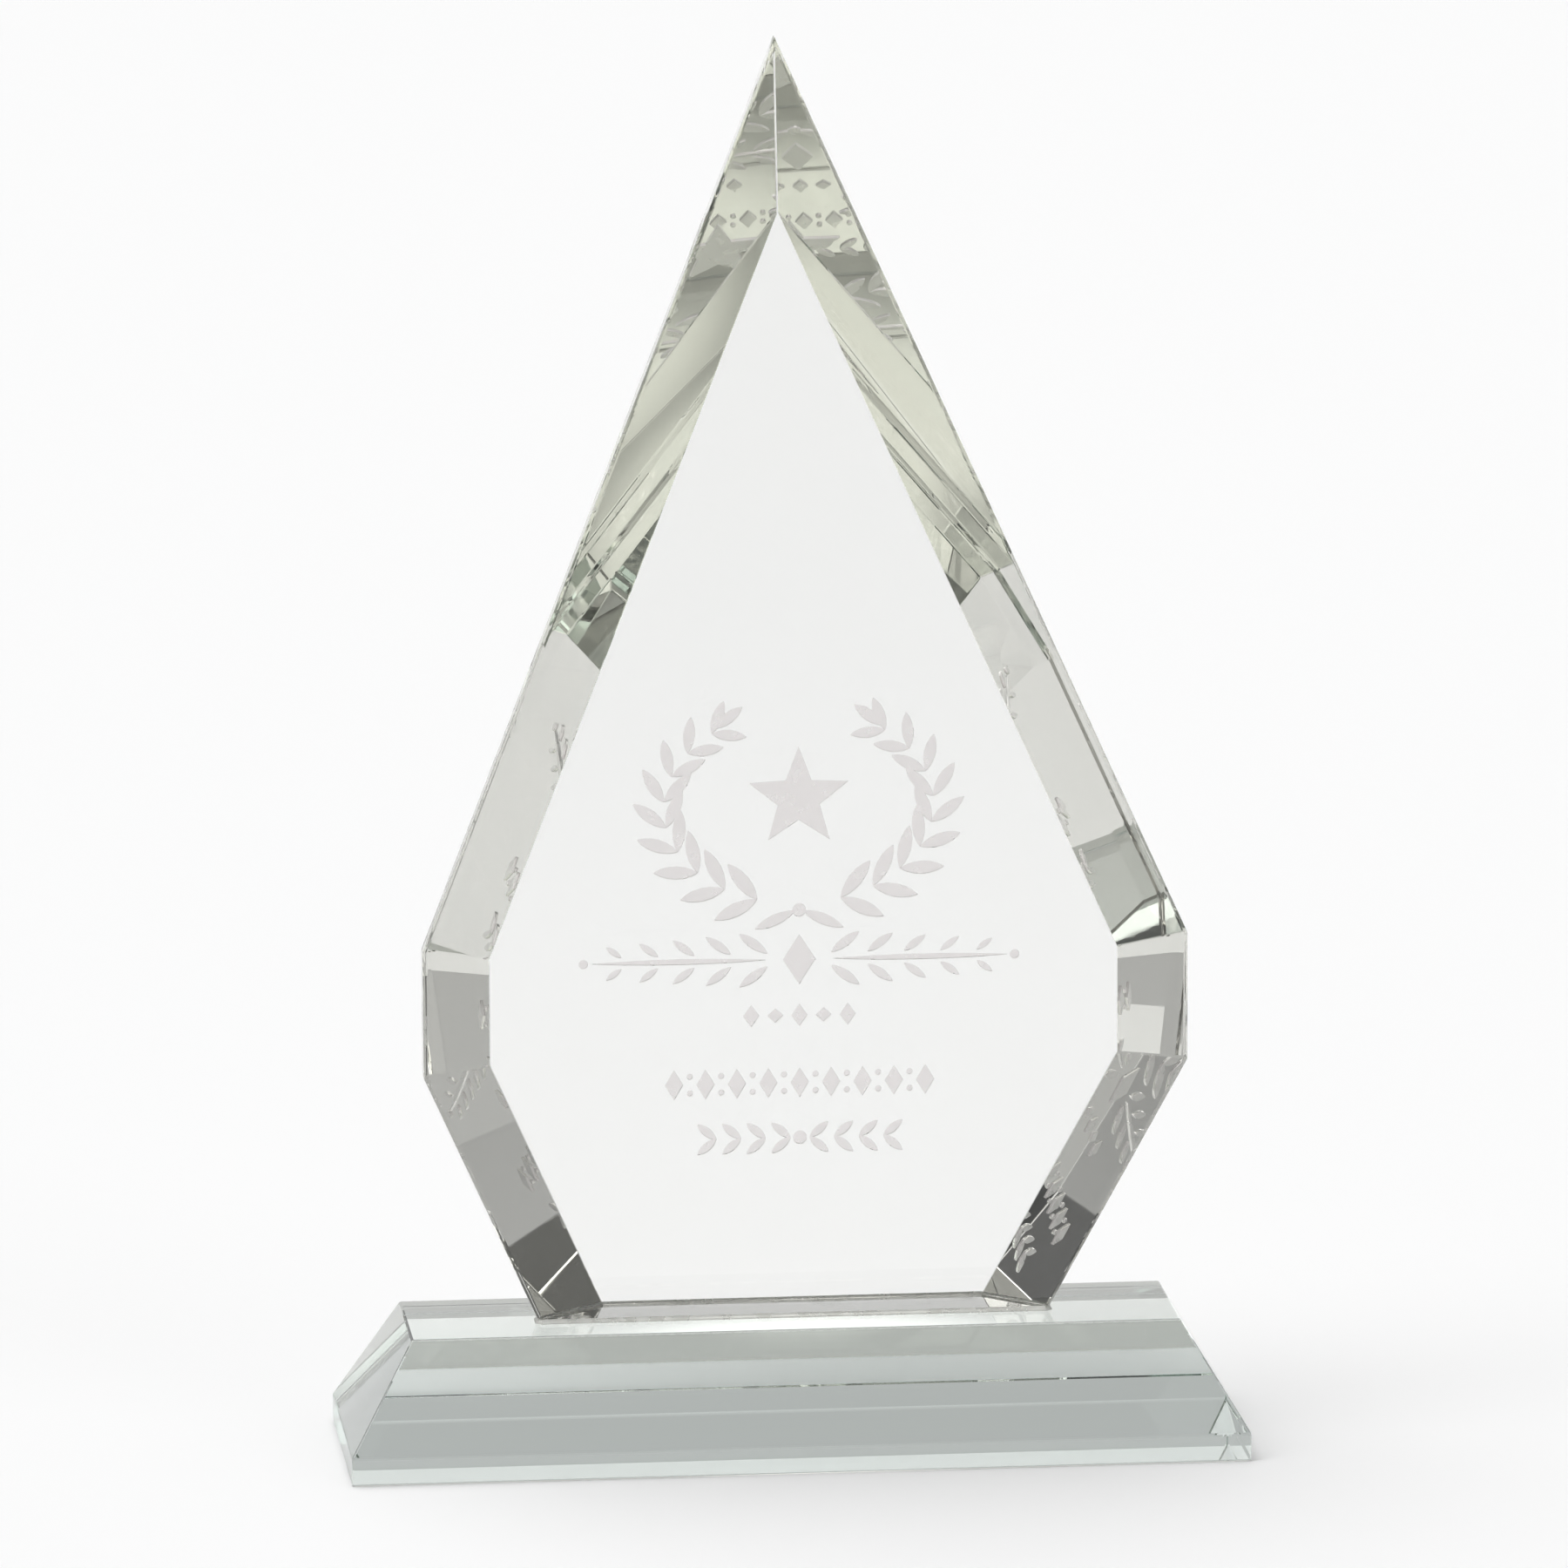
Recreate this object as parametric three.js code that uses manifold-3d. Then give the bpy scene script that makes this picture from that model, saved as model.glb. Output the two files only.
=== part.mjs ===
// Clear crystal award: an arrowhead plaque, ground with a wide bevel round its back,
// bonded upright on a bevelled base block by a thin film of clear adhesive.
// Millimetres, +Z up. The origin is the middle of the base's underside and the
// engraved front face looks towards -Y.
import * as THREE from 'three';
import { mergeVertices } from 'three/addons/utils/BufferGeometryUtils.js';
import Module from 'manifold-3d';

const wasm = await Module();
wasm.setup();

// ---- Base block -------------------------------------------------------------
const BASE_WIDTH = 160;
const BASE_DEPTH = 49.5;
const BASE_HEIGHT = 23.9;
const BASE_RIM_HEIGHT = 4.9;
const BASE_END_SLOPE_RUN = 11.5;
const BASE_FACE_SLOPE_RUN = 9.8;

// ---- Plaque, with heights counted from its foot -----------------------------
const PLAQUE_HEIGHT = 229.4;
const PLAQUE_THICKNESS = 19.3;
const SHOULDER_WIDTH = 136.3;
const SHOULDER_LOW_HEIGHT = 44.8;
const SHOULDER_HIGH_HEIGHT = 67.7;
const FOOT_WIDTH = 91.2;
const RIM_THICKNESS = 3.4;
const FRONT_ARRIS = 0.6;

// Each side is ground to its own bevel, measured inwards across the back face.
const LOWER_LEFT_BEVEL = 11.4;
const LEFT_BEVEL = 12.8;
const UPPER_LEFT_BEVEL = 13.4;
const UPPER_RIGHT_BEVEL = 12.1;
const RIGHT_BEVEL = 11.2;
const LOWER_RIGHT_BEVEL = 9.3;

// The plaque is ground by hand: its corners are not quite centred on the base.
const APEX_OFFSET = -2.1;
const SHOULDER_OFFSET = 2.9;
const FOOT_OFFSET = 0.5;

// The plaque stands at the back of the base's flat top, this far short of its rear edge.
const REAR_LEDGE = 0.9;

// ---- Bond -------------------------------------------------------------------
const ADHESIVE_THICKNESS = 0.2;

// ---- Heights and depths that follow -----------------------------------------
const FOOT_Z = BASE_HEIGHT + ADHESIVE_THICKNESS;
const BACK_Y = BASE_DEPTH / 2 - BASE_FACE_SLOPE_RUN - REAR_LEDGE;
const FRONT_Y = BACK_Y - PLAQUE_THICKNESS;
const RIM_BACK_Y = FRONT_Y + RIM_THICKNESS;

// A grinding block reaches past the whole award, whatever its size.
const BLOCK_SIZE = 4 * (BASE_WIDTH + BASE_HEIGHT + PLAQUE_HEIGHT);
const UP = new THREE.Vector3(0, 0, 1);

/** Turns a closed three.js geometry into a solid that can be cut. */
function toSolid(geometry) {
  const bare = geometry.index ? geometry.toNonIndexed() : geometry.clone();
  bare.deleteAttribute('normal');
  bare.deleteAttribute('uv');
  const merged = mergeVertices(bare);
  return new wasm.Manifold(new wasm.Mesh({
    numProp: 3,
    vertProperties: new Float32Array(merged.attributes.position.array),
    triVerts: new Uint32Array(merged.index.array),
  }));
}

/** Turns a cut solid back into a geometry with flat facets. */
function toGeometry(solid) {
  const mesh = solid.getMesh();
  const indexed = new THREE.BufferGeometry();
  indexed.setAttribute('position', new THREE.BufferAttribute(mesh.vertProperties, 3));
  indexed.setIndex(new THREE.BufferAttribute(mesh.triVerts, 1));
  const flat = indexed.toNonIndexed();
  flat.computeVertexNormals();
  return flat;
}

/** Grinds off all that lies beyond the plane through a point, on its outward side. */
function grind(solid, point, outward) {
  const block = new THREE.BoxGeometry(BLOCK_SIZE, BLOCK_SIZE, BLOCK_SIZE);
  block.translate(0, 0, BLOCK_SIZE / 2);
  const turn = new THREE.Quaternion().setFromUnitVectors(UP, outward.clone().normalize());
  block.applyQuaternion(turn);
  block.translate(point.x, point.y, point.z);
  return solid.subtract(toSolid(block));
}

/** A named piece with its own finish. */
function piece(name, geometry, finish) {
  const mesh = new THREE.Mesh(geometry, new THREE.MeshStandardMaterial(finish));
  mesh.name = name;
  return mesh;
}

/** The plaque's corners in its front plane (x, height above its foot), going clockwise. */
function plaqueCorners() {
  const halfShoulder = SHOULDER_WIDTH / 2;
  const halfFoot = FOOT_WIDTH / 2;
  return [
    new THREE.Vector2(FOOT_OFFSET - halfFoot, 0),
    new THREE.Vector2(SHOULDER_OFFSET - halfShoulder, SHOULDER_LOW_HEIGHT),
    new THREE.Vector2(SHOULDER_OFFSET - halfShoulder, SHOULDER_HIGH_HEIGHT),
    new THREE.Vector2(APEX_OFFSET, PLAQUE_HEIGHT),
    new THREE.Vector2(SHOULDER_OFFSET + halfShoulder, SHOULDER_HIGH_HEIGHT),
    new THREE.Vector2(SHOULDER_OFFSET + halfShoulder, SHOULDER_LOW_HEIGHT),
    new THREE.Vector2(FOOT_OFFSET + halfFoot, 0),
  ];
}

/** The ground sides: all of the outline but the foot, each with its normal and its bevel. */
function groundSides() {
  const corners = plaqueCorners();
  const bevels = [
    LOWER_LEFT_BEVEL,
    LEFT_BEVEL,
    UPPER_LEFT_BEVEL,
    UPPER_RIGHT_BEVEL,
    RIGHT_BEVEL,
    LOWER_RIGHT_BEVEL,
  ];
  return bevels.map((bevel, i) => {
    const along = corners[i + 1].clone().sub(corners[i]).normalize();
    return { corner: corners[i], normal: new THREE.Vector2(-along.y, along.x), bevel };
  });
}

/** How far along the foot a side's bevel reaches where it meets the back face. */
function reachAlongFoot(side) {
  return side.bevel / Math.abs(side.normal.x);
}

/** Upright plaque: the outline in full thickness, then each side ground front and back. */
function makePlaque() {
  const blank = new THREE.ExtrudeGeometry(new THREE.Shape(plaqueCorners()), {
    depth: PLAQUE_THICKNESS,
    bevelEnabled: false,
  });
  blank.rotateX(Math.PI / 2);
  blank.translate(0, BACK_Y, FOOT_Z);

  let solid = toSolid(blank);
  const bevelDepth = BACK_Y - RIM_BACK_Y;
  for (const { corner, normal, bevel } of groundSides()) {
    const onRim = new THREE.Vector3(corner.x, RIM_BACK_Y, FOOT_Z + corner.y);
    const backward = new THREE.Vector3(normal.x * bevelDepth, bevel, normal.y * bevelDepth);
    solid = grind(solid, onRim, backward);

    const onArris = new THREE.Vector3(corner.x, FRONT_Y + FRONT_ARRIS, FOOT_Z + corner.y);
    const forward = new THREE.Vector3(normal.x, -1, normal.y);
    solid = grind(solid, onArris, forward);
  }
  return piece('plaque', toGeometry(solid), {
    color: 0xeef2f1,
    roughness: 0.02,
    metalness: 0,
    transparent: true,
    opacity: 0.35,
  });
}

/** Base block: a slab whose four upright sides are ground back above a square rim. */
function makeBase() {
  const slab = new THREE.BoxGeometry(BASE_WIDTH, BASE_DEPTH, BASE_HEIGHT);
  slab.translate(0, 0, BASE_HEIGHT / 2);

  let solid = toSolid(slab);
  const slopeRise = BASE_HEIGHT - BASE_RIM_HEIGHT;
  for (const side of [-1, 1]) {
    const onEndRim = new THREE.Vector3(side * BASE_WIDTH / 2, 0, BASE_RIM_HEIGHT);
    solid = grind(solid, onEndRim, new THREE.Vector3(side * slopeRise, 0, BASE_END_SLOPE_RUN));

    const onFaceRim = new THREE.Vector3(0, side * BASE_DEPTH / 2, BASE_RIM_HEIGHT);
    solid = grind(solid, onFaceRim, new THREE.Vector3(0, side * slopeRise, BASE_FACE_SLOPE_RUN));
  }
  return piece('base_block', toGeometry(solid), {
    color: 0xe6ecec,
    roughness: 0.02,
    metalness: 0,
    transparent: true,
    opacity: 0.35,
  });
}

/** Film of clear adhesive that fills the bond between the plaque's foot and the base. */
function makeAdhesive() {
  const sides = groundSides();
  const leftX = FOOT_OFFSET - FOOT_WIDTH / 2;
  const rightX = FOOT_OFFSET + FOOT_WIDTH / 2;
  const footprint = new THREE.Shape([
    new THREE.Vector2(leftX, FRONT_Y + FRONT_ARRIS),
    new THREE.Vector2(rightX, FRONT_Y + FRONT_ARRIS),
    new THREE.Vector2(rightX, RIM_BACK_Y),
    new THREE.Vector2(rightX - reachAlongFoot(sides[sides.length - 1]), BACK_Y),
    new THREE.Vector2(leftX + reachAlongFoot(sides[0]), BACK_Y),
    new THREE.Vector2(leftX, RIM_BACK_Y),
  ]);
  const film = new THREE.ExtrudeGeometry(footprint, {
    depth: ADHESIVE_THICKNESS,
    bevelEnabled: false,
  });
  film.translate(0, 0, BASE_HEIGHT);
  return piece('adhesive_film', film, {
    color: 0xf4f6f2,
    roughness: 0.1,
    metalness: 0,
    transparent: true,
    opacity: 0.5,
  });
}

const award = new THREE.Group();
award.add(makeBase(), makeAdhesive(), makePlaque());

export default award;
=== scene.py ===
import math

import bmesh
import bpy
from mathutils import Matrix, Vector


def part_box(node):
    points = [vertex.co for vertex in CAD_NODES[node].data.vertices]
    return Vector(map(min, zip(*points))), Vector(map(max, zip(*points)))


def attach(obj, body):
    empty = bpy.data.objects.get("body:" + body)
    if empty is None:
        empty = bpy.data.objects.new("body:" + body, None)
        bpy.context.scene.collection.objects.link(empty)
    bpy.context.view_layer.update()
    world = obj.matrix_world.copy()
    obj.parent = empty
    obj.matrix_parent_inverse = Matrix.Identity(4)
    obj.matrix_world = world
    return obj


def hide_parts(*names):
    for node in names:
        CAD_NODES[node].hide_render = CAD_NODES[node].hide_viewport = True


bl_info = {
    "name": "Crystal award",
    "version": (1, 0, 0),
    "blender": (4, 5, 0),
    "location": "View3D > Sidebar > Crystal award",
    "description": "Ground and polished crystal plaque, engraved and bonded to its base block",
    "category": "Object",
}

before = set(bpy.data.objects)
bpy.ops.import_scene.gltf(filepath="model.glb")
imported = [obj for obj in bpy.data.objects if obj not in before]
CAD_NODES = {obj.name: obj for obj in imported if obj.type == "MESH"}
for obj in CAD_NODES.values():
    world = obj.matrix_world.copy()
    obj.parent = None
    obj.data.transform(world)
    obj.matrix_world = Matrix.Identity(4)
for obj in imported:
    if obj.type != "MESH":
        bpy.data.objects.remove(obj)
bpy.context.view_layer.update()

MM = 0.001
PLAQUE_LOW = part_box("plaque")[0]
BASE_LOW, BASE_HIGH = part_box("base_block")
FILM_LOW, FILM_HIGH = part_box("adhesive_film")

# Every mark of the engraving lies within this reach of a point on its middle line.
ENGRAVING_REACH = 50 * MM
ENGRAVING_MIDDLE_Z = 97 * MM


# ---- Sizes and colours that a user would change --------------------------------

class PlaqueSettings(bpy.types.PropertyGroup):
    polish_width: bpy.props.FloatProperty(
        name="Polished edge",
        description="Width of the fine polished chamfer on every edge of the plaque",
        default=0.22 * MM,
        min=0.02 * MM,
        max=0.25 * MM,
        precision=5,
        unit="LENGTH",
        subtype="DISTANCE",
    )
    engraving_depth: bpy.props.FloatProperty(
        name="Engraving depth",
        description="How deep the engraving is blasted into the front face",
        default=0.3 * MM,
        min=0.1 * MM,
        max=1.5 * MM,
        precision=5,
        unit="LENGTH",
        subtype="DISTANCE",
    )
    engraving_centre: bpy.props.FloatProperty(
        name="Engraving centre",
        description="How far the engraving's middle line stands to the right of the base's middle",
        default=1.6 * MM,
        precision=5,
        unit="LENGTH",
        subtype="DISTANCE",
    )
    refraction: bpy.props.FloatProperty(
        name="Refractive index",
        description="Refractive index of the crystal",
        default=1.52,
        min=1.4,
        max=1.8,
    )
    tint: bpy.props.FloatVectorProperty(
        name="Crystal tint",
        description="Colour that thick crystal leans to",
        default=(0.924, 0.923, 0.908),
        size=3,
        min=0.0,
        max=1.0,
        subtype="COLOR",
    )
    tint_density: bpy.props.FloatProperty(
        name="Tint density",
        description="How strongly a metre of crystal takes up light",
        default=25.0,
        min=0.0,
        max=400.0,
    )
    frost_colour: bpy.props.FloatVectorProperty(
        name="Frost colour",
        description="Colour of the blasted surface inside the engraving",
        default=(0.70, 0.655, 0.655),
        size=3,
        min=0.0,
        max=1.0,
        subtype="COLOR",
    )
    frost_roughness: bpy.props.FloatProperty(
        name="Frost roughness",
        description="How far the blasted surface scatters what shows through it",
        default=0.34,
        min=0.0,
        max=1.0,
        subtype="FACTOR",
    )


class BaseSettings(bpy.types.PropertyGroup):
    polish_width: bpy.props.FloatProperty(
        name="Polished edge",
        description="Width of the fine polished chamfer on every edge of the base block",
        default=0.3 * MM,
        min=0.05 * MM,
        max=1.0 * MM,
        precision=5,
        unit="LENGTH",
        subtype="DISTANCE",
    )
    refraction: bpy.props.FloatProperty(
        name="Refractive index",
        description="Refractive index of the base block",
        default=1.52,
        min=1.4,
        max=1.8,
    )
    tint: bpy.props.FloatVectorProperty(
        name="Base tint",
        description="Colour that the thick base block leans to",
        default=(0.775, 0.82, 0.80),
        size=3,
        min=0.0,
        max=1.0,
        subtype="COLOR",
    )
    tint_density: bpy.props.FloatProperty(
        name="Tint density",
        description="How strongly a metre of the base block takes up light",
        default=25.0,
        min=0.0,
        max=400.0,
    )


class BondSettings(bpy.types.PropertyGroup):
    wetting: bpy.props.FloatProperty(
        name="Wetting",
        description="How far the film reaches into both pieces, so that no air shows in the bond",
        default=0.02 * MM,
        min=0.0,
        max=0.1 * MM,
        precision=6,
        unit="LENGTH",
        subtype="DISTANCE",
    )
    bead_width: bpy.props.FloatProperty(
        name="Bead width",
        description="Width of the adhesive that has squeezed out round the plaque's foot",
        default=0.7 * MM,
        min=0.2 * MM,
        max=3.0 * MM,
        precision=5,
        unit="LENGTH",
        subtype="DISTANCE",
    )
    bead_height: bpy.props.FloatProperty(
        name="Bead height",
        description="How far the bead climbs the plaque's faces above the base",
        default=0.75 * MM,
        min=0.2 * MM,
        max=3.0 * MM,
        precision=5,
        unit="LENGTH",
        subtype="DISTANCE",
    )
    colour: bpy.props.FloatVectorProperty(
        name="Adhesive colour",
        description="Colour of the cured adhesive",
        default=(0.97, 0.97, 0.95),
        size=3,
        min=0.0,
        max=1.0,
        subtype="COLOR",
    )


class StageSettings(bpy.types.PropertyGroup):
    floor_radius: bpy.props.FloatProperty(
        name="Floor radius",
        description="Radius of the round studio floor",
        default=14.0,
        min=1.0,
        unit="LENGTH",
        subtype="DISTANCE",
    )
    floor_colour: bpy.props.FloatVectorProperty(
        name="Floor colour",
        description="Colour of the pale matt floor",
        default=(0.93, 0.93, 0.93),
        size=3,
        min=0.0,
        max=1.0,
        subtype="COLOR",
    )
    # Painted shade: the share of its colour that the floor keeps far in front, darkened there in place
    # of less light falling on it.
    painted_front_shade: bpy.props.FloatProperty(
        name="Front dimming",
        description="Share of its colour that the floor keeps far in front of the award",
        default=0.55,
        min=0.0,
        max=1.0,
        subtype="FACTOR",
    )
    camera_azimuth: bpy.props.FloatProperty(
        name="Camera azimuth",
        description="How far the camera stands round to the left of the plaque's front",
        default=math.radians(5.83),
        unit="ROTATION",
        subtype="ANGLE",
    )
    camera_elevation: bpy.props.FloatProperty(
        name="Camera elevation",
        description="How steeply the camera looks down",
        default=math.radians(11.1),
        unit="ROTATION",
        subtype="ANGLE",
    )
    camera_roll: bpy.props.FloatProperty(
        name="Camera roll",
        description="How far the camera is turned about its own line of sight",
        default=math.radians(-0.22),
        unit="ROTATION",
        subtype="ANGLE",
    )
    camera_distance: bpy.props.FloatProperty(
        name="Camera distance",
        description="From the camera to the point that it aims at",
        default=2.2969,
        min=0.3,
        unit="LENGTH",
        subtype="DISTANCE",
    )
    camera_lens: bpy.props.FloatProperty(
        name="Lens",
        description="Focal length on a 36 mm wide sensor, in millimetres",
        default=297.9,
        min=20.0,
        unit="CAMERA",
    )
    aim: bpy.props.FloatVectorProperty(
        name="Aim",
        description="The point that the camera aims at",
        default=(-0.47 * MM, 0.0, 119.55 * MM),
        size=3,
        precision=5,
        unit="LENGTH",
        subtype="TRANSLATION",
    )
    light_level: bpy.props.FloatProperty(
        name="Light level",
        description="Brightness of the whole studio",
        default=1.0,
        min=0.0,
    )
    pad_level: bpy.props.FloatProperty(
        name="Pad level",
        description="Brightness of the light pad under the base block",
        default=1.5,
        min=0.0,
    )


SETTINGS = {
    "award_plaque": PlaqueSettings,
    "award_base": BaseSettings,
    "award_bond": BondSettings,
    "award_stage": StageSettings,
}


# ---- Meshes ---------------------------------------------------------------------

def facets_of(node):
    """The CAD node's facets as a bmesh: its loose triangles merged and each flat facet made whole."""
    merge_distance = 0.01 * MM
    flat_angle = math.radians(0.1)
    bm = bmesh.new()
    bm.from_mesh(CAD_NODES[node].data)
    bmesh.ops.remove_doubles(bm, verts=bm.verts, dist=merge_distance)
    bmesh.ops.dissolve_limit(bm, angle_limit=flat_angle, verts=bm.verts, edges=bm.edges)
    return bm


def polish_edges(bm, width):
    """Takes the sharpness off every edge with a fine rounded chamfer."""
    bmesh.ops.bevel(
        bm,
        geom=bm.edges[:],
        offset=width,
        offset_type="OFFSET",
        segments=2,
        profile=0.5,
        affect="EDGES",
        material=-1,
    )


def new_piece(name, bm, materials):
    """Puts a finished bmesh into the scene as an object at the origin."""
    mesh = bpy.data.meshes.new(name)
    bm.to_mesh(mesh)
    bm.free()
    for material in materials:
        mesh.materials.append(material)
    obj = bpy.data.objects.new(name, mesh)
    bpy.context.scene.collection.objects.link(obj)
    return obj


def on_plan(vert):
    """Where a vertex stands seen from above, to the micrometre."""
    return round(vert.co.x, 6), round(vert.co.y, 6)


def squeezed_bead(settings):
    """A low ramp of adhesive round the plaque's foot, which wets the foot and the base."""
    rim_height = 0.06 * MM
    bm = facets_of("plaque")
    bm.faces.ensure_lookup_table()
    foot = min(bm.faces, key=lambda face: face.calc_center_median().z)
    bmesh.ops.delete(bm, geom=[face for face in bm.faces if face != foot], context="FACES")
    spare = bmesh.ops.inset_individual(
        bm, faces=[foot], thickness=settings.wetting, use_even_offset=True)
    bmesh.ops.delete(bm, geom=spare["faces"], context="FACES")
    ring = bmesh.ops.inset_individual(
        bm, faces=[foot], thickness=-settings.bead_width, use_even_offset=True)
    rim = {on_plan(vert) for vert in foot.verts}
    bmesh.ops.delete(bm, geom=[foot], context="FACES_ONLY")
    for vert in bm.verts:
        vert.co.z = BASE_HIGH.z - settings.wetting
    raised = bmesh.ops.extrude_face_region(bm, geom=ring["faces"])
    for vert in (item for item in raised["geom"] if isinstance(item, bmesh.types.BMVert)):
        rise = rim_height if on_plan(vert) in rim else settings.bead_height
        vert.co.z = BASE_HIGH.z + rise
    bmesh.ops.recalc_face_normals(bm, faces=bm.faces)
    return bm


def lens_outline(point):
    """Pulls a round outline to a point at both ends, as a leaf has."""
    sharpness = 0.75
    point.y *= abs(point.y) ** sharpness


def stamp(bm, centre, half_size, turn=0.0, sides=16, reshape=None, front=0.0, depth=0.0):
    """Adds one closed cutter with sloping walls: a round, lozenge or leaf in the front face.

    The centre is (x, z). The outline starts with a corner or a leaf's tip on its own x axis.
    """
    lift = depth
    wall_inset = 0.4 * depth
    made = bmesh.ops.create_cone(
        bm, cap_ends=True, segments=sides, radius1=1.0, radius2=1.0, depth=depth + lift)
    for vert in made["verts"]:
        if reshape:
            reshape(vert.co)
        inset = wall_inset if vert.co.z < 0 else 0.0
        vert.co.x *= half_size[0] - inset
        vert.co.y *= half_size[1] - inset
    place = (
        Matrix.Translation((centre[0], front + (depth - lift) / 2, centre[1]))
        @ Matrix.Rotation(math.pi / 2, 4, "X")
        @ Matrix.Rotation(turn, 4, "Z")
    )
    bmesh.ops.transform(bm, matrix=place, verts=made["verts"])
    return made["verts"]


def cutting_block(bm, front, depth, middle):
    """Fills a bmesh with every cutter of the engraving: an ornament with no lettering."""
    cut = {"front": front, "depth": depth}

    def mark(x, z, half_x, half_z, **how):
        stamp(bm, (middle + x * MM, z * MM), (half_x * MM, half_z * MM), **how, **cut)

    laurel_and_star(mark)
    flourish(mark)
    small_row(mark)
    lozenge_row(mark)
    leaf_row(mark)


def laurel_and_star(mark):
    """Two laurel sprays that rise from a tie and curve round a five-pointed star."""
    centre_z = 116.5
    radius_x, radius_z = 24.0, 17.5
    leaf_pairs = 9
    leaf_lean = math.radians(38)
    leaf_reach = 0.98
    first, last = math.radians(-72), math.radians(50)
    star_size = 9.4
    star_lift = 1.5
    star_notch = 0.42

    def star_outline(point):
        turn = math.atan2(point.y, point.x) - math.pi / 2
        step = round(turn / (math.pi / 5))
        if step % 2:
            point.x *= star_notch
            point.y *= star_notch

    mark(0, centre_z + star_lift, star_size, star_size, sides=10, reshape=star_outline)
    for side in (-1, 1):
        for i in range(leaf_pairs):
            share = i / (leaf_pairs - 1)
            along = first + (last - first) * share
            x = side * radius_x * math.cos(along)
            z = centre_z + radius_z * math.sin(along)
            heading = math.atan2(radius_z * math.cos(along), -side * radius_x * math.sin(along))
            length = 4.3 - 1.1 * share
            for lean in (-1, 1):
                turn = heading + lean * leaf_lean
                reach = length * leaf_reach
                mark(x + reach * math.cos(turn), z + reach * math.sin(turn),
                     length, 1.35 - 0.25 * share, turn=turn, reshape=lens_outline)
        tip = last + math.radians(9)
        mark(side * radius_x * math.cos(tip), centre_z + radius_z * math.sin(tip) + 1.2,
             3.2, 1.1, turn=math.pi / 2 + side * math.radians(52), reshape=lens_outline)
        mark(side * 4.3, centre_z - radius_z - 2.9, 4.0, 1.1,
             turn=side * math.radians(-24), reshape=lens_outline)
    mark(0, centre_z - radius_z - 1.2, 1.3, 1.3)


def flourish(mark):
    """A long rule with a lozenge in its middle and curling leaves on both sides."""
    z = 88.9
    leaf_pitch = 6.2
    leaf_lean = math.radians(36)
    mark(0, z, 3.0, 4.6, sides=4)
    for side in (-1, 1):
        mark(side * 21.5, z, 15.6, 0.6, reshape=lens_outline, sides=24)
        mark(side * 38.4, z, 0.9, 0.9)
        for step in range(5):
            x = side * (8.2 + leaf_pitch * step)
            size = 3.2 - 0.35 * step
            for above in (-1, 1):
                mark(x, z + above * (size * 0.72 + 0.7), size, 0.95 - 0.08 * step,
                     turn=above * side * leaf_lean, reshape=lens_outline)


def small_row(mark):
    """Five small lozenges side by side."""
    z = 78.8
    pitch = 4.3
    for i in range(-2, 3):
        mark(i * pitch, z, 1.5, 2.1 if i % 2 == 0 else 1.4, sides=4)


def lozenge_row(mark):
    """Tall lozenges with a pair of dots between neighbours."""
    z = 66.6
    pitch = 5.6
    on_each_side = 4
    dot_size = 0.62
    for i in range(-on_each_side, on_each_side + 1):
        mark(i * pitch, z, 1.7, 2.8, sides=4)
        if i < on_each_side:
            for above in (-1, 1):
                mark((i + 0.5) * pitch, z + above * 1.5, dot_size, dot_size)


def leaf_row(mark):
    """Pairs of leaves that open outwards from a dot in the middle."""
    z = 56.6
    pitch = 4.4
    leaf_lean = math.radians(40)
    mark(0, z, 1.3, 1.3)
    for side in (-1, 1):
        for i in range(4):
            x = side * (3.4 + i * pitch)
            for above in (-1, 1):
                mark(x, z + above * 1.35, 2.3, 0.85,
                     turn=above * side * leaf_lean, reshape=lens_outline)


def engrave(obj, settings):
    """Cuts the engraving into the plaque's front face."""
    bm = bmesh.new()
    cutting_block(bm, PLAQUE_LOW.y, settings.engraving_depth, settings.engraving_centre)
    cutter = new_piece("engraving_cutter", bm, obj.data.materials)
    cut = obj.modifiers.new("Engraving", "BOOLEAN")
    cut.operation = "DIFFERENCE"
    cut.solver = "EXACT"
    cut.use_self = True
    cut.object = cutter
    depsgraph = bpy.context.evaluated_depsgraph_get()
    engraved = bpy.data.meshes.new_from_object(obj.evaluated_get(depsgraph))
    engraved.name = obj.name
    plain = obj.data
    obj.modifiers.clear()
    obj.data = engraved
    bpy.data.meshes.remove(plain)
    bpy.data.objects.remove(cutter)


# ---- Finishes -------------------------------------------------------------------

# What two polished faces let through together.
POLISHED = (0.955, 0.96, 0.955)
ADHESIVE_REFRACTION = 1.5


def new_material(name):
    """A material with its node tree, its surface shader and its output."""
    material = bpy.data.materials.new(name)
    material.use_nodes = True
    nodes = material.node_tree.nodes
    return material, nodes, material.node_tree.links, nodes["Principled BSDF"]


def object_noise(nodes, links, scale, detail):
    """Noise that stays fixed to the piece."""
    place = nodes.new("ShaderNodeTexCoord")
    noise = nodes.new("ShaderNodeTexNoise")
    noise.inputs["Scale"].default_value = scale
    noise.inputs["Detail"].default_value = detail
    links.new(place.outputs["Object"], noise.inputs["Vector"])
    return noise


def limits(nodes, links, value, lowest, highest, to_lowest, to_highest):
    """Maps a span of one value smoothly onto another."""
    span = nodes.new("ShaderNodeMapRange")
    span.interpolation_type = "SMOOTHSTEP"
    span.inputs["From Min"].default_value = lowest
    span.inputs["From Max"].default_value = highest
    span.inputs["To Min"].default_value = to_lowest
    span.inputs["To Max"].default_value = to_highest
    links.new(value, span.inputs["Value"])
    return span.outputs["Result"]


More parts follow.
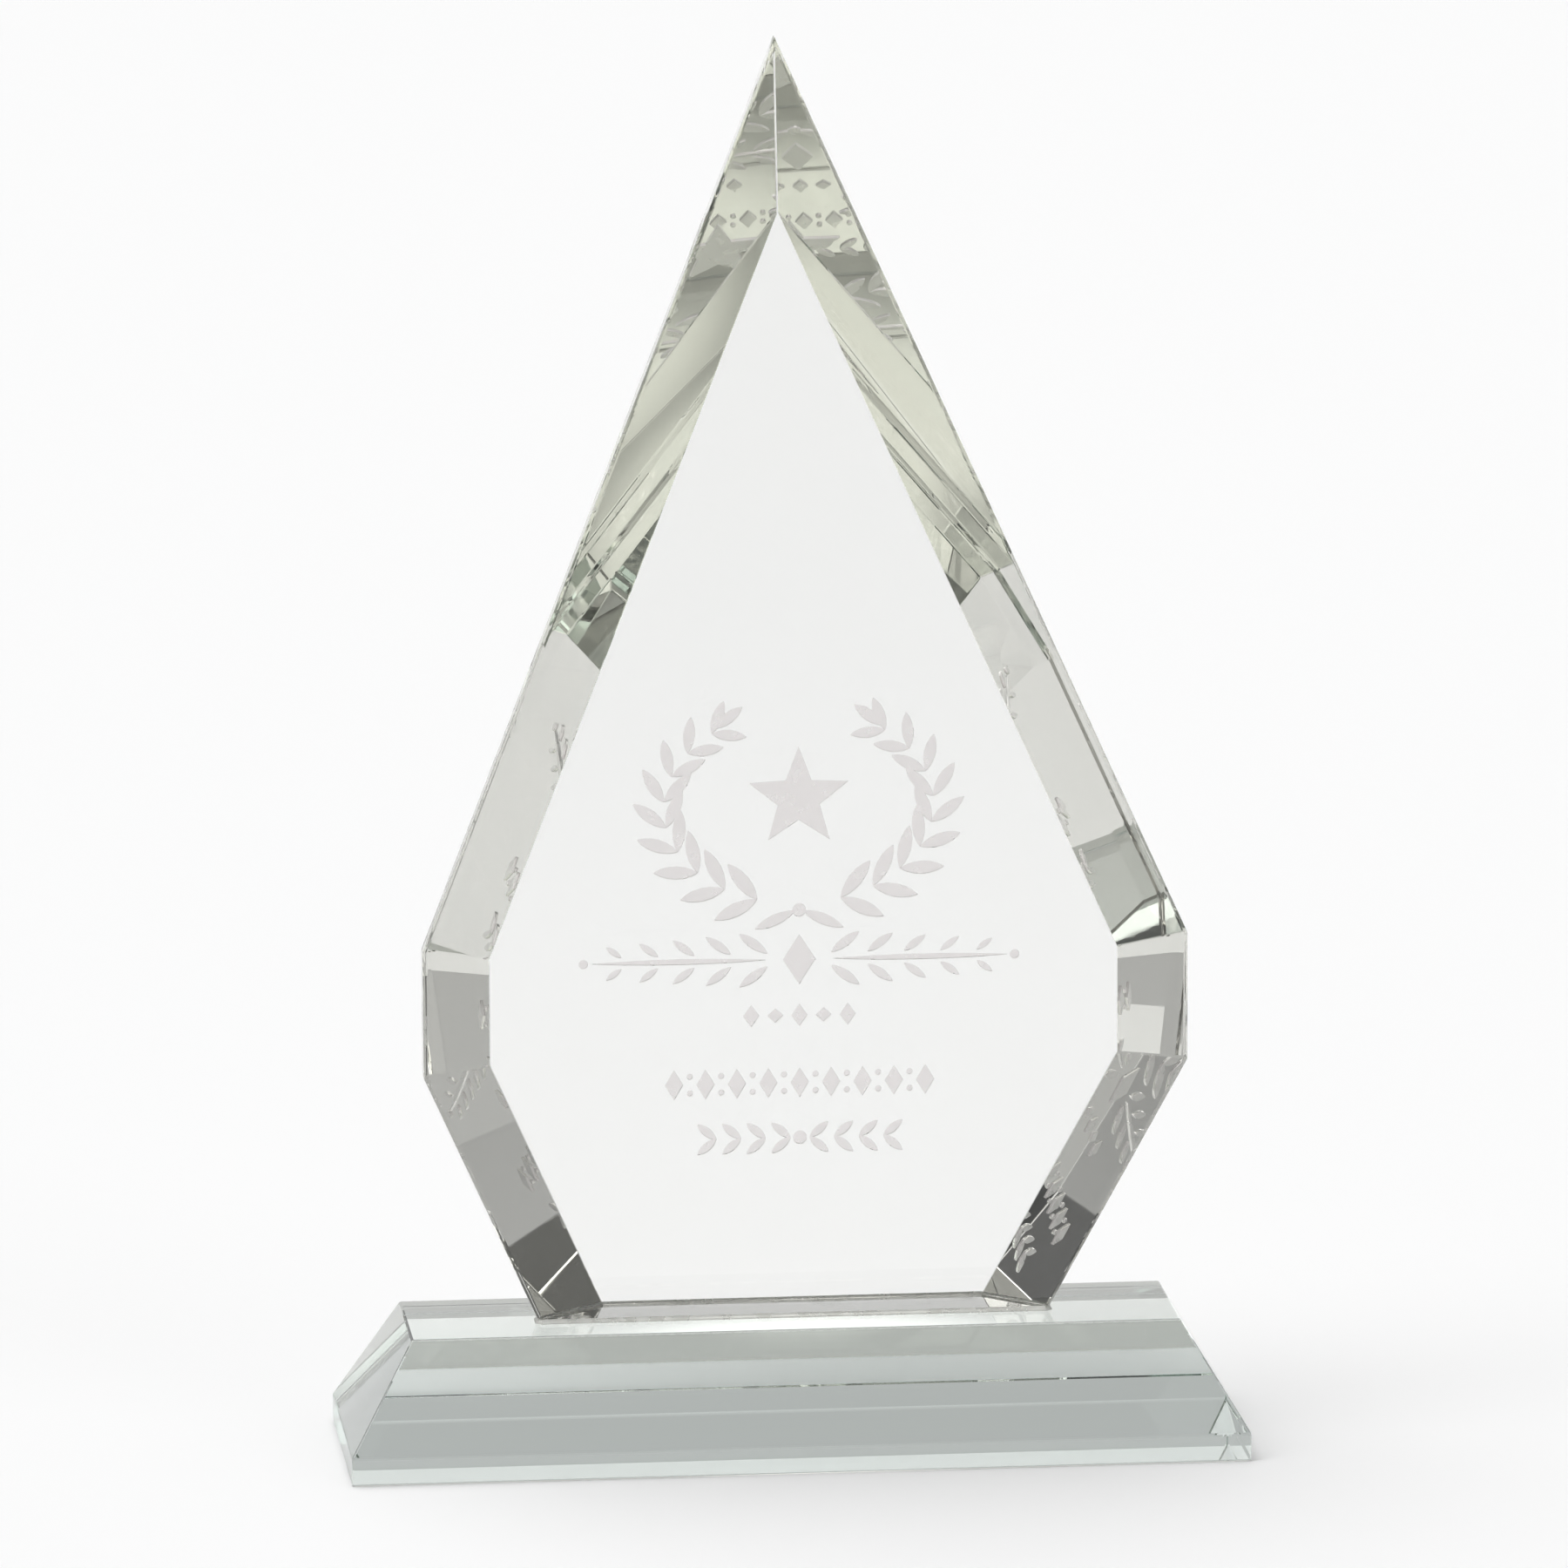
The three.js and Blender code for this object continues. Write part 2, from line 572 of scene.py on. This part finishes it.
def bumps(nodes, links, height, shader, strength, distance):
    """Gives a shader small relief."""
    bump = nodes.new("ShaderNodeBump")
    bump.inputs["Strength"].default_value = strength
    bump.inputs["Distance"].default_value = distance
    links.new(height, bump.inputs["Height"])
    links.new(bump.outputs["Normal"], shader.inputs["Normal"])


def both(nodes, links, first, second):
    """The product of two values."""
    product = nodes.new("ShaderNodeMath")
    product.operation = "MULTIPLY"
    links.new(first, product.inputs[0])
    links.new(second, product.inputs[1])
    return product.outputs["Value"]


def take_up_light(nodes, links, tint, density):
    """Lets the body of the glass take up light by the depth of it that light crosses."""
    depth = nodes.new("ShaderNodeVolumeAbsorption")
    depth.inputs["Color"].default_value = (*tint, 1)
    depth.inputs["Density"].default_value = density
    links.new(depth.outputs["Volume"], nodes["Material Output"].inputs["Volume"])


def crystal(name, settings):
    """Clear crystal with the faintest smears of handling, which set its roughness."""
    material, nodes, links, shader = new_material(name)
    shader.inputs["Base Color"].default_value = (*POLISHED, 1)
    shader.inputs["Transmission Weight"].default_value = 1
    shader.inputs["IOR"].default_value = settings.refraction
    smears = object_noise(nodes, links, scale=38.0, detail=4.0)
    roughness = limits(nodes, links, smears.outputs["Fac"], 0.52, 0.75, 0.0, 0.02)
    links.new(roughness, shader.inputs["Roughness"])
    take_up_light(nodes, links, settings.tint, settings.tint_density)
    return material, nodes, links, shader, roughness


def polished_crystal(name, settings):
    """The base block's finish: polished all over."""
    return crystal(name, settings)[0]


def blasted_area(nodes, links, settings):
    """1 in the engraving's recess and 0 on every polished face, from the place on the piece."""
    skin = 0.05 * MM
    front = PLAQUE_LOW.y
    place = nodes.new("ShaderNodeTexCoord")
    axes = nodes.new("ShaderNodeSeparateXYZ")
    links.new(place.outputs["Object"], axes.inputs["Vector"])
    below = limits(nodes, links, axes.outputs["Y"], front + 0.2 * skin, front + skin, 0.0, 1.0)
    deepest = front + 2 * settings.engraving_depth
    shallow = limits(nodes, links, axes.outputs["Y"], deepest, deepest + MM, 1.0, 0.0)
    on_face = nodes.new("ShaderNodeVectorMath")
    on_face.operation = "MULTIPLY"
    on_face.inputs[1].default_value = (1, 0, 1)
    links.new(place.outputs["Object"], on_face.inputs[0])
    away = nodes.new("ShaderNodeVectorMath")
    away.operation = "DISTANCE"
    away.inputs[1].default_value = (settings.engraving_centre, 0, ENGRAVING_MIDDLE_Z)
    links.new(on_face.outputs["Vector"], away.inputs[0])
    near = limits(nodes, links, away.outputs["Value"], ENGRAVING_REACH, ENGRAVING_REACH + MM, 1.0, 0.0)
    return both(nodes, links, both(nodes, links, below, shallow), near)


def engraved_crystal(name, settings):
    """The plaque's finish: polished, but for the sand-blasted white frost of its engraving."""
    material, nodes, links, shader, polished = crystal(name, settings)
    frosted = blasted_area(nodes, links, settings)
    grain = object_noise(nodes, links, scale=2600.0, detail=3.0)
    patches = object_noise(nodes, links, scale=420.0, detail=2.0)
    patchiness = 0.08
    blasted = limits(nodes, links, patches.outputs["Fac"], 0.3, 0.7,
                     settings.frost_roughness - patchiness, settings.frost_roughness + patchiness)
    roughness = nodes.new("ShaderNodeMix")
    links.new(frosted, roughness.inputs["Factor"])
    links.new(polished, roughness.inputs["A"])
    links.new(blasted, roughness.inputs["B"])
    links.new(roughness.outputs["Result"], shader.inputs["Roughness"])
    shade = nodes.new("ShaderNodeMixRGB")
    shade.inputs["Color1"].default_value = (*POLISHED, 1)
    shade.inputs["Color2"].default_value = (*settings.frost_colour, 1)
    links.new(frosted, shade.inputs["Fac"])
    links.new(shade.outputs["Color"], shader.inputs["Base Color"])
    pits = both(nodes, links, grain.outputs["Fac"], frosted)
    bumps(nodes, links, pits, shader, strength=0.3, distance=0.01 * MM)
    return material


def cured_adhesive(settings):
    """Clear adhesive, a little cloudy in patches."""
    material, nodes, links, shader = new_material("cured_adhesive")
    shader.inputs["Base Color"].default_value = (*settings.colour, 1)
    shader.inputs["Transmission Weight"].default_value = 1
    shader.inputs["IOR"].default_value = ADHESIVE_REFRACTION
    cloud = object_noise(nodes, links, scale=260.0, detail=3.0)
    roughness = limits(nodes, links, cloud.outputs["Fac"], 0.5, 0.75, 0.0, 0.12)
    links.new(roughness, shader.inputs["Roughness"])
    bumps(nodes, links, cloud.outputs["Fac"], shader, strength=0.08, distance=0.02 * MM)
    return material


def dried_bead(settings):
    """Adhesive that has dried in the open: whiter than the film, with a dull skin."""
    material, nodes, links, shader = new_material("dried_bead")
    shader.inputs["Transmission Weight"].default_value = 0.6
    shader.inputs["IOR"].default_value = ADHESIVE_REFRACTION
    cloud = object_noise(nodes, links, scale=340.0, detail=3.0)
    shade = nodes.new("ShaderNodeMixRGB")
    shade.inputs["Color1"].default_value = (*settings.colour, 1)
    shade.inputs["Color2"].default_value = (0.85, 0.84, 0.78, 1)
    links.new(cloud.outputs["Fac"], shade.inputs["Fac"])
    links.new(shade.outputs["Color"], shader.inputs["Base Color"])
    roughness = limits(nodes, links, cloud.outputs["Fac"], 0.35, 0.7, 0.12, 0.4)
    links.new(roughness, shader.inputs["Roughness"])
    bumps(nodes, links, cloud.outputs["Fac"], shader, strength=0.1, distance=0.02 * MM)
    return material


# ---- Pieces ---------------------------------------------------------------------

class AWARD_OT_base_block(bpy.types.Operator):
    """Builds the polished base block over its CAD solid"""

    bl_idname = "award.base_block"
    bl_label = "Base block"

    def execute(self, context):
        settings = context.scene.award_base
        bm = facets_of("base_block")
        polish_edges(bm, settings.polish_width)
        base = new_piece("crystal_base", bm, [polished_crystal("base_crystal", settings)])
        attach(base, "root")
        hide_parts("base_block")
        return {"FINISHED"}


class AWARD_OT_bond(bpy.types.Operator):
    """Builds the adhesive film, and the bead that has squeezed out of it"""

    bl_idname = "award.bond"
    bl_label = "Adhesive bond"

    def execute(self, context):
        settings = context.scene.award_bond
        finish = cured_adhesive(settings)
        bm = facets_of("adhesive_film")
        middle = (FILM_LOW.z + FILM_HIGH.z) / 2
        for vert in bm.verts:
            vert.co.z += math.copysign(settings.wetting, vert.co.z - middle)
        film = new_piece("bond_film", bm, [finish])
        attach(film, "root")
        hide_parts("adhesive_film")
        bead = new_piece("bond_bead", squeezed_bead(settings), [dried_bead(settings)])
        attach(bead, "root")
        return {"FINISHED"}


class AWARD_OT_plaque(bpy.types.Operator):
    """Builds the bevelled plaque over its CAD solid and engraves its front face"""

    bl_idname = "award.plaque"
    bl_label = "Engraved plaque"

    def execute(self, context):
        settings = context.scene.award_plaque
        bm = facets_of("plaque")
        polish_edges(bm, settings.polish_width)
        plaque = new_piece("crystal_plaque", bm, [engraved_crystal("plaque_crystal", settings)])
        engrave(plaque, settings)
        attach(plaque, "root")
        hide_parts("plaque")
        return {"FINISHED"}


# ---- Stage ----------------------------------------------------------------------

def away_from(nodes, links, centre, half_size):
    """How far a place on the floor is from a centre, as a share of an oval's half size."""
    place = nodes.new("ShaderNodeTexCoord")
    shifted = nodes.new("ShaderNodeVectorMath")
    shifted.operation = "SUBTRACT"
    shifted.inputs[1].default_value = (*centre, 0)
    links.new(place.outputs["Object"], shifted.inputs[0])
    scaled = nodes.new("ShaderNodeVectorMath")
    scaled.operation = "DIVIDE"
    scaled.inputs[1].default_value = (*half_size, 1)
    links.new(shifted.outputs["Vector"], scaled.inputs[0])
    share = nodes.new("ShaderNodeVectorMath")
    share.operation = "LENGTH"
    links.new(scaled.outputs["Vector"], share.inputs[0])
    return share.outputs["Value"]


def studio_floor(settings):
    """A wide round floor just under the award, which rests on it; its colour is darkened towards the
    front, a painted shade standing in for less light falling there.
    """
    air_under_base = 0.1 * MM
    bm = bmesh.new()
    bmesh.ops.create_circle(
        bm,
        cap_ends=True,
        segments=96,
        radius=settings.floor_radius,
        matrix=Matrix.Translation((0, 0, BASE_LOW.z - air_under_base)),
    )
    material, nodes, links, shader = new_material("pale_floor")
    place = nodes.new("ShaderNodeTexCoord")
    across = nodes.new("ShaderNodeSeparateXYZ")
    links.new(place.outputs["Object"], across.inputs["Vector"])
    # Painted shade: the floor's colour is darkened smoothly from 0.15 m to 0.9 m in front of the
    # award's middle.
    far_front, near_front = -0.9, -0.15
    painted_shade_factor = limits(nodes, links, across.outputs["Y"], far_front, near_front, settings.painted_front_shade, 1.0)
    shade = nodes.new("ShaderNodeMixRGB")
    shade.blend_type = "MULTIPLY"
    shade.inputs["Fac"].default_value = 1
    shade.inputs["Color1"].default_value = (*settings.floor_colour, 1)
    links.new(painted_shade_factor, shade.inputs["Color2"])
    links.new(shade.outputs["Color"], shader.inputs["Base Color"])
    shader.inputs["Roughness"].default_value = 0.9
    shader.inputs["Specular IOR Level"].default_value = 0.0
    floor = new_piece("studio_floor", bm, [material])


def light_pad(settings):
    """A thin glowing pad under the base block, which lights it from below."""
    under_base = 0.05 * MM
    edge_margin = 0.3 * MM
    edge_share = 0.38
    bm = bmesh.new()
    size = BASE_HIGH - BASE_LOW
    bmesh.ops.create_grid(
        bm,
        x_segments=1,
        y_segments=1,
        size=1.0,
        matrix=Matrix.Translation((0, 0, BASE_LOW.z - under_base))
        @ Matrix.Diagonal((size.x / 2 - edge_margin, size.y / 2 - edge_margin, 1, 1)),
    )
    material, nodes, links, shader = new_material("pad_glow")
    shader.inputs["Base Color"].default_value = (0.2, 0.2, 0.2, 1)
    shader.inputs["Roughness"].default_value = 0.9
    shader.inputs["Specular IOR Level"].default_value = 0.0
    shader.inputs["Emission Color"].default_value = (1, 0.985, 0.95, 1)
    middle = away_from(nodes, links, (4 * MM, -5 * MM), (48 * MM, 26 * MM))
    glow = limits(nodes, links, middle, 0.45, 1.0, settings.pad_level, edge_share * settings.pad_level)
    links.new(glow, shader.inputs["Emission Strength"])
    pad = new_piece("light_pad", bm, [material])


# Soft lights by azimuth, elevation, inner and outer half-angle in degrees, and brightness.
# Azimuth runs from the plaque's front, 0, to its right, 90, and behind it, 180.
# A negative brightness is a black card, which takes light away.
SOFT_LIGHTS = (
    (-100, 76, 26, 38, 2.7),
    (-74, 38, 9, 20, 1.0),
    (44, 36, 7, 18, 0.8),
    (180, 40, 8, 26, 0.42),
    (180, 0, 12, 40, 0.1),
    (14, 24, 6, 20, -0.4),
    (-22, 32, 6, 16, -0.2),
)
WALL_LEVEL = 0.54
CEILING_LEVEL = 0.12
WALL_TOP, CEILING_START = math.radians(18), math.radians(33)
DARKEST = 0.02


def studio_light(settings):
    """A grey dome, darker overhead, with broad soft lights and black cards in it."""
    world = bpy.data.worlds.new("soft_studio")
    world.use_nodes = True
    nodes = world.node_tree.nodes
    links = world.node_tree.links
    direction = nodes.new("ShaderNodeTexCoord").outputs["Generated"]
    height = nodes.new("ShaderNodeSeparateXYZ")
    links.new(direction, height.inputs["Vector"])
    brightness = limits(nodes, links, height.outputs["Z"], math.sin(WALL_TOP),
                        math.sin(CEILING_START), WALL_LEVEL, CEILING_LEVEL)
    for azimuth, elevation, inner, outer, level in SOFT_LIGHTS:
        turn = math.radians(azimuth)
        rise = math.radians(elevation)
        aim = nodes.new("ShaderNodeVectorMath")
        aim.operation = "DOT_PRODUCT"
        aim.inputs[1].default_value = (
            math.sin(turn) * math.cos(rise),
            -math.cos(turn) * math.cos(rise),
            math.sin(rise),
        )
        links.new(direction, aim.inputs[0])
        glow = limits(nodes, links, aim.outputs["Value"], math.cos(math.radians(outer)),
                      math.cos(math.radians(inner)), 0.0, level)
        total = nodes.new("ShaderNodeMath")
        total.operation = "ADD"
        links.new(glow, total.inputs[0])
        links.new(brightness, total.inputs[1])
        brightness = total.outputs["Value"]
    floored = nodes.new("ShaderNodeMath")
    floored.operation = "MAXIMUM"
    floored.inputs[1].default_value = DARKEST
    links.new(brightness, floored.inputs[0])
    background = nodes["Background"]
    links.new(floored.outputs["Value"], background.inputs["Color"])
    background.inputs["Strength"].default_value = settings.light_level
    bpy.context.scene.world = world


def place_camera(settings):
    """Stands the camera to the left of the plaque's front, looking slightly down."""
    turn, dip, roll = settings.camera_azimuth, settings.camera_elevation, settings.camera_roll
    sight = Vector((math.sin(turn) * math.cos(dip), math.cos(turn) * math.cos(dip), -math.sin(dip)))
    right = Vector((math.cos(turn), -math.sin(turn), 0))
    up = right.cross(sight)
    axes = Matrix((right, up, -sight)).transposed().to_4x4() @ Matrix.Rotation(roll, 4, "Z")
    lens = bpy.data.cameras.new("studio_camera")
    lens.sensor_width = 36
    lens.lens = settings.camera_lens
    lens.clip_end = 100
    camera = bpy.data.objects.new("studio_camera", lens)
    bpy.context.scene.collection.objects.link(camera)
    stand = Vector(settings.aim) - settings.camera_distance * sight
    camera.matrix_world = Matrix.Translation(stand) @ axes
    bpy.context.scene.camera = camera


def light_paths(scene):
    """Lets light bounce often enough inside the crystal to find its way out again."""
    bounces = 48
    scene.cycles.max_bounces = bounces
    scene.cycles.transmission_bounces = bounces
    scene.cycles.glossy_bounces = bounces
    scene.view_settings.view_transform = "Standard"


class AWARD_OT_stage(bpy.types.Operator):
    """Sets up the floor, the soft light and the camera"""

    bl_idname = "award.stage"
    bl_label = "Studio stage"

    def execute(self, context):
        settings = context.scene.award_stage
        studio_floor(settings)
        light_pad(settings)
        studio_light(settings)
        place_camera(settings)
        light_paths(context.scene)
        return {"FINISHED"}


# ---- Sidebar and registration ------------------------------------------------------

OPERATORS = (AWARD_OT_base_block, AWARD_OT_bond, AWARD_OT_plaque, AWARD_OT_stage)


class AWARD_PT_workshop(bpy.types.Panel):
    """Lists the award's settings and the buttons that build it"""

    bl_idname = "AWARD_PT_workshop"
    bl_label = "Crystal award"
    bl_space_type = "VIEW_3D"
    bl_region_type = "UI"
    bl_category = "Crystal award"

    def draw(self, context):
        for operator in OPERATORS:
            self.layout.operator(operator.bl_idname)
        for name, group in SETTINGS.items():
            box = self.layout.box()
            box.label(text=name.replace("_", " ").capitalize())
            for setting in group.__annotations__:
                box.prop(getattr(context.scene, name), setting)


def register():
    for group in SETTINGS.values():
        bpy.utils.register_class(group)
    for name, group in SETTINGS.items():
        setattr(bpy.types.Scene, name, bpy.props.PointerProperty(type=group))
    for operator in OPERATORS:
        bpy.utils.register_class(operator)
    bpy.utils.register_class(AWARD_PT_workshop)


def unregister():
    bpy.utils.unregister_class(AWARD_PT_workshop)
    for operator in reversed(OPERATORS):
        bpy.utils.unregister_class(operator)
    for name in SETTINGS:
        delattr(bpy.types.Scene, name)
    for group in reversed(list(SETTINGS.values())):
        bpy.utils.unregister_class(group)


def main():
    register()
    bpy.ops.award.base_block()
    bpy.ops.award.bond()
    bpy.ops.award.plaque()
    bpy.ops.award.stage()


if __name__ == "__main__":
    main()
